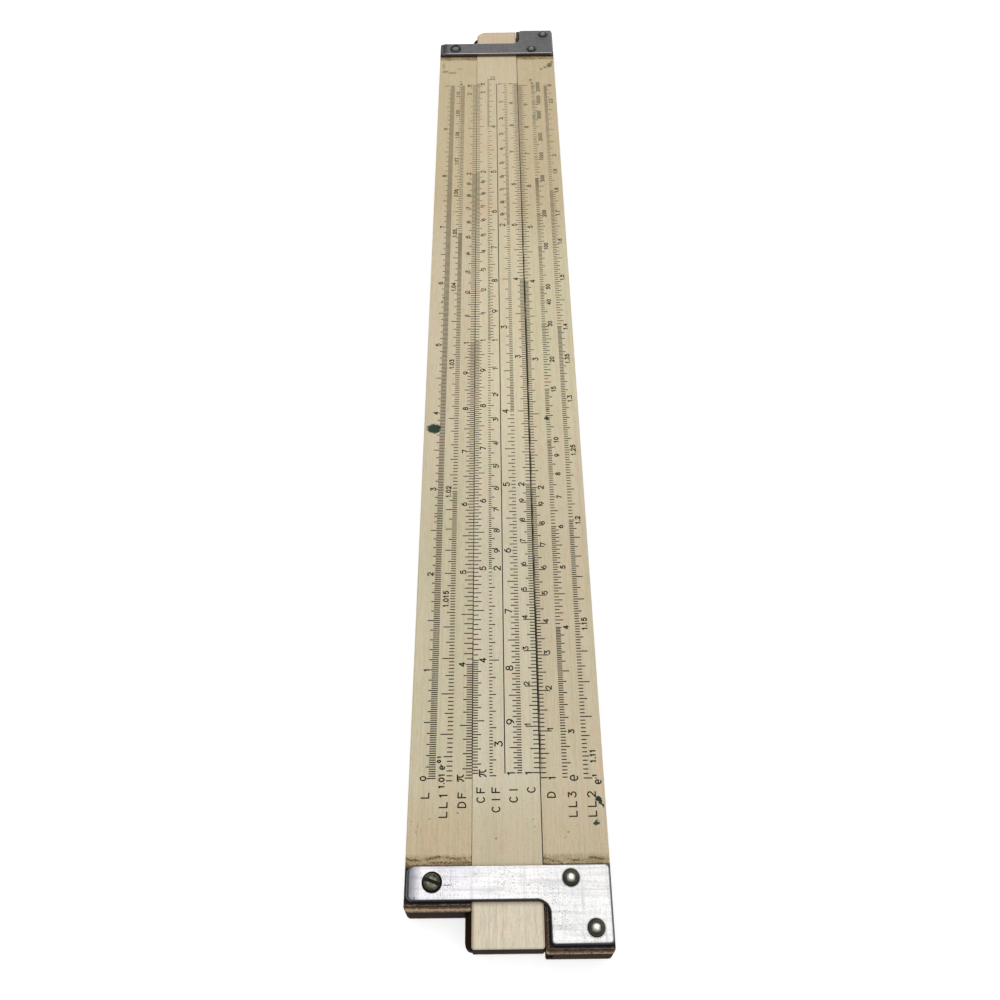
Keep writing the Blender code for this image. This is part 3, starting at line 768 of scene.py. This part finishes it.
class Ink:
    """Gathers closed strips of ink on one face of one member into one mesh.

    On the back face the figures' upright is -Y and the strips stand out along -Z.
    """

    def __init__(self, name, member, back):
        self.name = name
        self.body = BODY[member]
        self.outward = -1 if back else 1
        self.face = (BACK_FACE if back else FRONT_FACE)[member]
        self.along = SHIFT[member] - SCALE_LENGTH / 2
        self.vertices = []
        self.faces = []
        self.strips = 0

    def strip(self, sections, proud, closed=False):
        """A closed solid that runs through its sections, each a pair of left and right edge points."""
        first = len(self.vertices)
        heights = (proud, proud, -INK_DEPTH, -INK_DEPTH)
        for left, right in sections:
            for edge, height in zip((left, right, right, left), heights):
                self.vertices.append((edge.real + self.along, self.outward * edge.imag,
                                      self.face + self.outward * height))
        count = len(sections)
        for start in range(count if closed else count - 1):
            here = first + 4 * start
            there = first + 4 * ((start + 1) % count)
            for side in range(4):
                after = (side + 1) % 4
                self.faces.append((here + side, here + after, there + after, there + side))
        if not closed:
            last = first + 4 * (count - 1)
            self.faces.append((first, first + 3, first + 2, first + 1))
            self.faces.append((last, last + 1, last + 2, last + 3))

    def bar(self, start, end, width):
        across = 1j * (end - start) / abs(end - start) * width / 2
        self.strip([(start + across, start - across), (end + across, end - across)], TICK_PROUD)

    def stroke(self, points, width):
        """A line of even width with round ends, or a ring where it ends at its own start."""
        half = width / 2
        closed = len(points) > 3 and abs(points[0] - points[-1]) < half / 10
        points = points[:-1] if closed else points
        count = len(points)
        sections = []
        for index, here in enumerate(points):
            before = points[index - 1] if closed else points[max(index - 1, 0)]
            after = points[(index + 1) % count] if closed else points[min(index + 1, count - 1)]
            forward = (after - before) / abs(after - before)
            sections.append((here, forward, half))
        if not closed:
            sections = round_ends(sections, half)
        self.strips += 1
        proud = FIGURE_PROUD + STROKE_STEP * (self.strips % STROKE_LEVELS)
        edges = [(here + 1j * forward * reach, here - 1j * forward * reach)
                 for here, forward, reach in sections]
        self.strip(edges, proud, closed)

    def glyph(self, character, centre, low, high, width):
        """One figure, its outer edges at low and high."""
        glyph_width, strokes = GLYPH_SHARES[character]
        scale = high - low - width
        corner = complex(centre - glyph_width * scale / 2, low + width / 2)
        for points in strokes:
            for run in smooth_runs(as_complex(points)):
                self.stroke([corner + scale * point for point in run], width)

    def write(self, text, at, low, high, width=FIGURE_STROKE, side=0):
        """Figures in a row: centred on the place for side 0, else starting (1) or ending (-1) there."""
        scale = high - low - width
        widths = [GLYPH_SHARES[character][0] * scale + width for character in text]
        total = sum(widths) + FIGURE_GAP * (len(text) - 1)
        left = at - total * (1 - side) / 2
        for character, glyph_width in zip(text, widths):
            self.glyph(character, left + glyph_width / 2, low, high, width)
            left += glyph_width + FIGURE_GAP

    def build(self, material):
        mesh = bpy.data.meshes.new(self.name)
        mesh.from_pydata(self.vertices, [], self.faces)
        mesh.validate()
        mesh.materials.append(material)
        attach(stand(self.name, mesh), self.body)


CAP_ANGLES = (60, 30)


def round_ends(sections, half):
    """Adds narrowing sections before the first and after the last."""
    first, forward, _ = sections[0]
    last, onward, _ = sections[-1]
    shares = [(math.sin(math.radians(angle)), math.cos(math.radians(angle))) for angle in CAP_ANGLES]
    start = [(first - forward * half * out, forward, half * wide) for out, wide in shares]
    end = [(last + onward * half * out, onward, half * wide) for out, wide in reversed(shares)]
    return [*start, *sections, *end]


# Scales

# Across the rule: where a scale's lines start, where they end by their kind, and where its writing stands
Layout = namedtuple("Layout", "member base minor mid tall cut figures small letters")
LAYOUTS = {
    "upper_margin": Layout("upper_rail", 0.01515, 0.01665, 0.0173, 0.01806, 0.017,
                           (0.01705, 0.01855), None, 0.01728),
    "upper_outer": Layout("upper_rail", 0.01157, 0.0128, 0.01354, 0.01434, 0.0129,
                          (0.01315, 0.01455), None, 0.01338),
    "upper_edge": Layout("upper_rail", 0.00738, 0.00865, 0.0094, 0.0101, 0.0089,
                         (0.009, 0.0106), (0.009, 0.0104), 0.00945),
    "slide_top": Layout("slide", 0.00722, 0.0061, 0.0054, 0.0047, 0.006,
                        (0.0042, 0.0059), (0.0042, 0.00565), 0.00548),
    "slide_upper": Layout("slide", 0.0036, 0.00288, 0.0021, 0.00135, 0.0027,
                          (0.00065, 0.00252), (0.00085, 0.00235), 0.00227),
    "slide_lower": Layout("slide", -0.00343, -0.00243, -0.00158, -0.0008, -0.0022,
                          (-0.00195, -0.0001), (-0.0018, -0.00035), -0.00147),
    "slide_bottom": Layout("slide", -0.00713, -0.00597, -0.00528, -0.00443, -0.0057,
                           (-0.00565, -0.004), (-0.00555, -0.00415), -0.00526),
    "lower_edge": Layout("lower_rail", -0.00738, -0.00858, -0.00935, -0.0101, -0.0088,
                         (-0.0106, -0.00895), (-0.0105, -0.00905), -0.00947),
    "lower_outer": Layout("lower_rail", -0.012, -0.0131, -0.0139, -0.0146, -0.01335,
                          (-0.0151, -0.0137), None, -0.01388),
    "lower_margin": Layout("lower_rail", -0.0165, -0.0176, -0.01835, -0.0191, -0.0179,
                           (-0.01945, -0.01805), None, -0.01795),
}

# The number of steps between middle lines and between tall lines, by the step's first digit
STEPS_BETWEEN = {"1": (5, 10), "2": (5, 25), "5": (2, 10)}
Scale = namedtuple("Scale", "name layout place zones figures small side", defaults=({}, 1))
Note = namedtuple("Note", "text at low high")

LETTERS_END = -0.00365
E = math.e
PI = math.pi


def even_place(value):
    return SCALE_LENGTH * value


def decades(count, factor=1.0):
    """A logarithmic scale that holds this many decades, from value 1 / factor."""
    return lambda value: SCALE_LENGTH / count * math.log10(value * factor)


def reversed_decade(factor=1.0):
    return lambda value: SCALE_LENGTH * (1 - math.log10(value * factor))


def log_log(factor):
    return lambda value: SCALE_LENGTH * math.log10(factor * math.log(value))


def sine_place(factor):
    return lambda degrees: SCALE_LENGTH * math.log10(factor * math.sin(math.radians(degrees)))


def tangent_place(degrees):
    return SCALE_LENGTH * math.log10(10 * math.tan(math.radians(degrees)))


def first_digit(value):
    return f"{value:e}"[0]


def leading_digits(values):
    """Each value with its first digit alone, as figures on a scale of decades are cut."""
    return {value: first_digit(value) for value in values}


def plain_figures(*values):
    return {value: f"{value:g}" for value in values}


def tenths(unit=1.0):
    """The figures 1 to 9 between the 1 and the 2 of a scale."""
    return {unit * (1 + tenth / 10): str(tenth) for tenth in range(1, 10)}


def zones(*run):
    """Stretches of a scale, each with its two ends and its step, from ends and steps in turn."""
    return list(zip(run[::2], run[2::2], run[1::2]))


UNIT_ZONES = zones(1, 0.01, 2, 0.02, 4, 0.05, 10)
FOLDED_ZONES = zones(3.16, 0.02, 4, 0.05, 10, 0.1, 20, 0.2, 31.4)
UNIT_FIGURES = leading_digits(range(1, 11))
D_SCALE = Scale("D", "lower_edge", decades(1), UNIT_ZONES, UNIT_FIGURES, tenths())
FOLDED_FIGURES = {PI: "π", 10 * PI: "π", **leading_digits([4, 5, 6, 7, 8, 9, 10, 20, 30])}
REVERSED_FOLDED_ZONES = zones(0.31, 0.002, 0.4, 0.005, 1, 0.01, 2, 0.02, 3.2)
LOG_LOG_1_ZONES = zones(1.01, 0.0001, 1.02, 0.0002, 1.05, 0.0005, 1.105)
LOG_LOG_2_ZONES = zones(1.105, 0.001, 1.2, 0.002, 1.4, 0.005, 1.8, 0.01, 2.7)
LOG_LOG_3_ZONES = zones(2.72, 0.02, 4, 0.05, 6, 0.1, 10, 0.2, 15, 0.5, 30, 1, 50, 2, 100, 5, 200, 10, 500,
                        50, 1000, 100, 2000, 200, 5000, 500, 10000, 1000, 22000)

FRONT_SCALES = (
    Scale("L", "upper_margin", even_place, zones(0, 0.002, 1),
          {tenth / 10: str(tenth % 10 or tenth // 10) for tenth in range(11)}),
    Scale("LL1", "upper_outer", log_log(100), LOG_LOG_1_ZONES,
          {**plain_figures(1.01, 1.015, 1.02, 1.03, 1.04, 1.05, 1.06, 1.07, 1.08, 1.09), 1.1: "1.10"}),
    Scale("DF", "upper_edge", decades(1, 1 / PI), FOLDED_ZONES, FOLDED_FIGURES, tenths(10)),
    Scale("CF", "slide_top", decades(1, 1 / PI), FOLDED_ZONES, FOLDED_FIGURES, tenths(10)),
    Scale("CIF", "slide_upper", reversed_decade(PI), REVERSED_FOLDED_ZONES,
          leading_digits([0.4, 0.5, 0.6, 0.7, 0.8, 0.9, 1, 2, 3]), tenths(), -1),
    Scale("CI", "slide_lower", reversed_decade(), UNIT_ZONES, UNIT_FIGURES, tenths(), -1),
    Scale("C", "slide_bottom", decades(1), UNIT_ZONES, UNIT_FIGURES, tenths()),
    D_SCALE,
    Scale("LL3", "lower_outer", log_log(1), LOG_LOG_3_ZONES,
          plain_figures(3, 4, 5, 6, 7, 8, 9, 10, 15, 20, 30, 40, 50, 100, 200, 500, 1000, 2000, 5000,
                        10000, 20000)),
    Scale("LL2", "lower_margin", log_log(10), LOG_LOG_2_ZONES,
          {**plain_figures(1.11, 1.15, 1.2, 1.25, 1.3, 1.35, 1.4, 1.5, 1.6, 1.7, 1.8, 1.9, 2, 2.5),
           E: "e"}),
)
FRONT_NOTES = {
    "upper_rail": (
        Note("e", 0.0023, 0.0131, 0.0144), Note(".", 0.0029, 0.01385, 0.01475),
        Note("0", 0.0037, 0.014, 0.015), Note("1", 0.00465, 0.014, 0.01495),
        Note("e", 0.2509, 0.01235, 0.0133), Note(".1", 0.2522, 0.0127, 0.0135),
    ),
    "slide": (Note("3.1", 0.2535, 0.0008, 0.0024),),
    "lower_rail": (
        Note("e", -0.0001, -0.0154, -0.0135),
        Note("e", -0.001, -0.0203, -0.0188), Note(".", -0.0002, -0.0193, -0.0183),
        Note("1", 0.0004, -0.01935, -0.0183),
        Note("e", 0.2512, -0.0129, -0.0119), Note("10", 0.253, -0.0124, -0.0115),
    ),
}

SQUARE_ZONES = zones(1, 0.02, 2, 0.05, 5, 0.1, 10)
CUBE_ZONES = zones(1, 0.05, 3, 0.1, 6, 0.2, 10)
ANGLES = (6, 7, 8, 9, 10, 12, 14, 16, 18, 20, 25, 30, 35, 40)


def over_decades(first_zones, count):
    return [tuple(10**decade * number for number in zone) for decade in range(count) for zone in first_zones]


def decade_figures(count):
    return leading_digits([first * 10**decade for decade in range(count) for first in range(1, 10)]
                          + [10**count])


BACK_SCALES = (
    Scale("K", "upper_outer", decades(3), over_decades(CUBE_ZONES, 3), decade_figures(3)),
    Scale("A", "upper_edge", decades(2), over_decades(SQUARE_ZONES, 2), decade_figures(2)),
    Scale("B", "slide_top", decades(2), over_decades(SQUARE_ZONES, 2), decade_figures(2)),
    Scale("T", "slide_upper", tangent_place, zones(5.75, 0.05, 10, 0.1, 20, 0.2, 45),
          plain_figures(*ANGLES, 45)),
    Scale("ST", "slide_lower", sine_place(100), zones(0.575, 0.005, 1, 0.01, 2, 0.02, 5.7),
          plain_figures(0.6, 0.7, 0.8, 0.9, 1, 1.5, 2, 2.5, 3, 3.5, 4, 4.5, 5, 5.5)),
    Scale("S", "slide_bottom", sine_place(10), zones(5.75, 0.05, 10, 0.1, 20, 0.2, 40, 0.5, 60, 1, 80),
          plain_figures(*ANGLES, 50, 60, 90)),
    D_SCALE,
    Scale("DI", "lower_outer", reversed_decade(), UNIT_ZONES, UNIT_FIGURES),
)


def line_ends(scale, layout):
    """Where each line of the scale ends, by value. Lines with a figure stop short of it."""
    ends = {}
    for low, high, step in scale.zones:
        mid_every, tall_every = STEPS_BETWEEN[first_digit(step)]
        for number in range(round(low / step), round(high / step) + 1):
            end = layout.minor
            if number % mid_every == 0:
                end = layout.mid
            if number % tall_every == 0:
                end = layout.tall
            ends[round(number * step, 7)] = end
    for value in scale.figures:
        ends[round(value, 7)] = layout.cut
    return ends


def engrave(scale, lines, figures):
    layout = LAYOUTS[scale.layout]
    for value, end in line_ends(scale, layout).items():
        place = scale.place(value)
        lines.bar(complex(place, layout.base), complex(place, end), TICK_WIDTH)
    for value, text in scale.figures.items():
        figures.write(text, scale.place(value), *layout.figures)
    for value, text in scale.small.items():
        place = scale.place(value) + scale.side * SIDE_FIGURE_GAP
        figures.write(text, place, *layout.small, SMALL_STROKE, scale.side)
    for steps_back, letter in enumerate(reversed(scale.name)):
        centre = LETTERS_END - steps_back * LETTER_PITCH
        figures.glyph(letter, centre, layout.letters - LETTER_HEIGHT / 2,
                      layout.letters + LETTER_HEIGHT / 2, LETTER_STROKE)


BOX_LINE_Y = 0.00028
TURNED_OVER = {"upper_rail": "lower_rail", "slide": "slide", "lower_rail": "upper_rail"}


def engrave_face(scales, notes, material, back=False):
    """All scales of one face. Turned over, the lower rail comes uppermost."""
    face = "back" if back else "front"
    inks = {}
    for above in BODY:
        member = TURNED_OVER[above] if back else above
        inks[above] = [Ink(f"{member}_{face}_{kind}", member, back) for kind in ("graduations", "figures")]
    for scale in scales:
        engrave(scale, *inks[LAYOUTS[scale.layout].member])
    for member, written in notes.items():
        for note in written:
            inks[member][1].write(note.text, note.at, note.low, note.high)
    lines = inks["slide"][0]
    lines.bar(complex(-TICK_WIDTH / 2, BOX_LINE_Y), complex(SCALE_LENGTH + TICK_WIDTH / 2, BOX_LINE_Y),
              FRAME_LINE_WIDTH)
    for pair in inks.values():
        for ink in pair:
            ink.build(material)


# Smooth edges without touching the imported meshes

SMOOTH_DEGREES = 38
WELD_REACH = 0.000001


def smoothing_nodes():
    """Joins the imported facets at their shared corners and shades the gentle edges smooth."""
    tree = bpy.data.node_groups.new("join_and_smooth", "GeometryNodeTree")
    for way in ("INPUT", "OUTPUT"):
        tree.interface.new_socket("Geometry", in_out=way, socket_type="NodeSocketGeometry")
    kinds = ("NodeGroupInput", "GeometryNodeMergeByDistance", "GeometryNodeRemoveAttribute",
             "GeometryNodeSetShadeSmooth", "GeometryNodeSetShadeSmooth", "NodeGroupOutput")
    chain = [tree.nodes.new(kind) for kind in kinds]
    for first, second in zip(chain, chain[1:]):
        tree.links.new(first.outputs["Geometry"], second.inputs["Geometry"])
    weld, plain, _, sharp = chain[1:-1]
    weld.inputs["Distance"].default_value = WELD_REACH
    plain.inputs["Name"].default_value = "custom_normal"
    sharp.domain = "EDGE"
    sharp.inputs["Shade Smooth"].default_value = False
    steep = tree.nodes.new("FunctionNodeCompare")
    steep.operation = "GREATER_THAN"
    steep.inputs["B"].default_value = math.radians(SMOOTH_DEGREES)
    angle = tree.nodes.new("GeometryNodeInputMeshEdgeAngle")
    tree.links.new(angle.outputs["Unsigned Angle"], steep.inputs["A"])
    tree.links.new(steep.outputs["Result"], sharp.inputs["Selection"])
    return tree


def smooth_shading(piece, tree):
    joined = piece.modifiers.new("join_and_smooth", "NODES")
    joined.node_group = tree
    weighted = piece.modifiers.new("flat_faces", "WEIGHTED_NORMAL")
    weighted.keep_sharp = True


# Marks on the front face, each with its centre, its radii, its colour and how much it covers

INK_GREEN = (0.002, 0.022, 0.015)
STAIN_BROWN = (0.24, 0.175, 0.075)
STAIN_OLIVE = (0.11, 0.105, 0.03)
STAIN_GREEN = (0.3, 0.31, 0.19)
SCRAWL_BROWN = (0.26, 0.19, 0.11)
SPOT_BLACK = (0.02, 0.02, 0.02)
MARKS = {
    "upper_rail": [
        ((0.0948, 0.0182), (0.0016, 0.0019), INK_GREEN, 0.95),
        ((-0.0098, 0.0186), (0.0006, 0.00016), SCRAWL_BROWN, 0.42),
        ((-0.0108, 0.018), (0.0004, 0.00014), SCRAWL_BROWN, 0.38),
        ((-0.0112, 0.0188), (0.0005, 0.00015), SCRAWL_BROWN, 0.42),
        ((0.2589, 0.0188), (0.0007, 0.0012), STAIN_BROWN, 0.75),
        ((0.258, 0.0162), (0.0006, 0.0016), STAIN_BROWN, 0.6),
        ((0.2604, 0.0133), (0.0005, 0.0012), STAIN_BROWN, 0.4),
        ((0.2625, 0.0194), (0.0018, 0.0005), STAIN_BROWN, 0.45),
    ],
    "slide": [],
    "lower_rail": [
        ((-0.0096, -0.0186), (0.0005, 0.0007), INK_GREEN, 0.92),
        ((-0.0046, -0.0193), (0.0006, 0.0005), INK_GREEN, 0.97),
        ((-0.0053, -0.0198), (0.0006, 0.0004), INK_GREEN, 0.95),
        ((-0.006, -0.0202), (0.0004, 0.0003), INK_GREEN, 0.9),
        ((0.0979, -0.0121), (0.0007, 0.0006), SPOT_BLACK, 0.92),
        ((0.2623, -0.0191), (0.0014, 0.0009), STAIN_OLIVE, 0.85),
        ((0.264, -0.02), (0.001, 0.0005), STAIN_OLIVE, 0.7),
        ((0.261, -0.0175), (0.0008, 0.0007), STAIN_OLIVE, 0.6),
        ((0.2598, -0.016), (0.0007, 0.0006), STAIN_OLIVE, 0.45),
        ((0.2325, -0.0137), (0.003, 0.0011), STAIN_GREEN, 0.45),
    ],
}

# Specks, each with its centre, its radius and how much it covers
SPECKS = {
    "upper_rail": [((-0.009, 0.02), 0.00012, 0.9), ((-0.0073, 0.0103), 0.00014, 0.95),
                   ((-0.0084, 0.0161), 0.00022, 0.5), ((0.0667, 0.017), 0.0003, 0.8),
                   ((0.142, 0.0172), 0.00035, 0.8), ((0.144, 0.0168), 0.0003, 0.7)],
    "slide": [((-0.0125, 0.0023), 0.0002, 0.7), ((-0.0087, -0.0055), 0.00014, 0.8),
              ((-0.0102, -0.0058), 0.0001, 0.7)],
    "lower_rail": [((-0.0114, -0.0127), 0.00018, 0.8), ((-0.0125, -0.012), 0.00014, 0.7),
                   ((0.101, -0.0125), 0.00045, 0.6)],
}

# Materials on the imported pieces

finishes = {
    "core": mahogany("mahogany"),
    "bracket": satin_nickel("satin_nickel"),
    "rivet": rivet_nickel("rivet_nickel"),
    "screw": screw_steel("screw_steel"),
    "bush": brass("brass"),
}
for member in CREAM:
    front = celluloid(member + "_front", member, MARKS[member], SPECKS[member])
    finishes[member + "_front_facing"] = front
    finishes[member + "_back_facing"] = celluloid(member + "_back", member)

shading = smoothing_nodes()
for name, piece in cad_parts.items():
    kind = name if name in finishes else name.split("_")[-1]
    piece.data.materials.clear()
    piece.data.materials.append(finishes[kind])
    smooth_shading(piece, shading)

ink_material = engraving_ink("engraving_ink")
engrave_face(FRONT_SCALES, FRONT_NOTES, ink_material)
engrave_face(BACK_SCALES, {}, ink_material, back=True)


# Floor, light and camera

FLOOR_SIZE = 8.0
FLOOR_DIFFUSE = 0.48
FLOOR_BOUNCE = 0.8

# The floor's glow near the rule and far away, and the distances at which it starts and stops rising
FLOOR_GLOWS = (0.65, 1.0)
FLOOR_GLOW_REACH = (0.5, 1.2)
LAMP_PLACE = (-0.05, 0.0, 1.0)
LAMP_LENGTH = 1.8
LAMP_WIDTH = 2.0
LAMP_RADIANCE = 1.4

# The world's grey by the upward part of the direction: pale at the horizon, dim, and lighter overhead
WORLD_STOPS = ((0.1, 1.0), (0.34, 0.24), (0.62, 0.24), (1.0, 0.5))


def grey(level):
    return (level, level, level, 1.0)


def floor_material():
    """White where it is lit, as the camera, metal and glass see it, and it keeps the shadow."""
    tree = Tree("floor")
    tree.nodes.remove(tree.shader)
    rays = tree.node("LightPath").outputs
    reflected = tree.math("ADD", rays["Is Glossy Ray"], rays["Is Transmission Ray"])
    seen = tree.math("ADD", rays["Is Camera Ray"], reflected, clamp=True)
    strength = tree.span(tree.length(tree.place), *FLOOR_GLOW_REACH, *FLOOR_GLOWS, smooth=False)
    glow = tree.fill(tree.node("Emission"), {"Strength": strength}).outputs[0]
    lit = tree.node("AddShader", tree.node("BsdfDiffuse", grey(FLOOR_DIFFUSE)).outputs[0], glow).outputs[0]
    bounce = tree.node("BsdfDiffuse", grey(FLOOR_BOUNCE)).outputs[0]
    pick = tree.node("MixShader", seen, bounce, lit).outputs[0]
    tree.links.new(pick, tree.nodes["Material Output"].inputs["Surface"])
    return tree.material


def floor():
    mesh = bpy.data.meshes.new("floor")
    half = FLOOR_SIZE / 2
    corners = [(-half, -half, 0), (half, -half, 0), (half, half, 0), (-half, half, 0)]
    mesh.from_pydata(corners, [], [(0, 1, 2, 3)])
    mesh.materials.append(floor_material())
    stand("floor", mesh)


def softbox():
    lamp = bpy.data.lights.new("softbox", "AREA")
    lamp.shape = "RECTANGLE"
    lamp.size = LAMP_LENGTH
    lamp.size_y = LAMP_WIDTH
    lamp.energy = LAMP_RADIANCE * math.pi * LAMP_LENGTH * LAMP_WIDTH
    stand("softbox", lamp).location = LAMP_PLACE


def surroundings():
    world = bpy.data.worlds.new("studio")
    world.use_nodes = True
    nodes, links = world.node_tree.nodes, world.node_tree.links
    split = nodes.new("ShaderNodeSeparateXYZ")
    links.new(nodes.new("ShaderNodeTexCoord").outputs["Generated"], split.inputs[0])
    ramp = nodes.new("ShaderNodeValToRGB")
    links.new(split.outputs["Z"], ramp.inputs["Fac"])
    elements = ramp.color_ramp.elements
    while len(elements) < len(WORLD_STOPS):
        elements.new(0.5)
    for element, (position, level) in zip(elements, WORLD_STOPS):
        element.position = position
        element.color = grey(level)
    links.new(ramp.outputs["Color"], nodes["Background"].inputs["Color"])
    bpy.context.scene.world = world


def camera():
    lens = bpy.data.cameras.new("camera")
    lens.lens = CAMERA_LENS
    lens.sensor_width = CAMERA_SENSOR
    lens.clip_start = CAMERA_CLIP
    piece = stand("camera", lens)
    aim = Euler((math.pi / 2 - CAMERA_PITCH, 0, CAMERA_YAW - math.pi / 2)).to_matrix()
    turned = aim @ Matrix.Rotation(CAMERA_ROLL, 3, "Z")
    piece.matrix_world = Matrix.Translation(CAMERA_PLACE) @ turned.to_4x4()
    bpy.context.scene.camera = piece


floor()
softbox()
surroundings()
camera()
bpy.context.scene.view_settings.view_transform = "Standard"
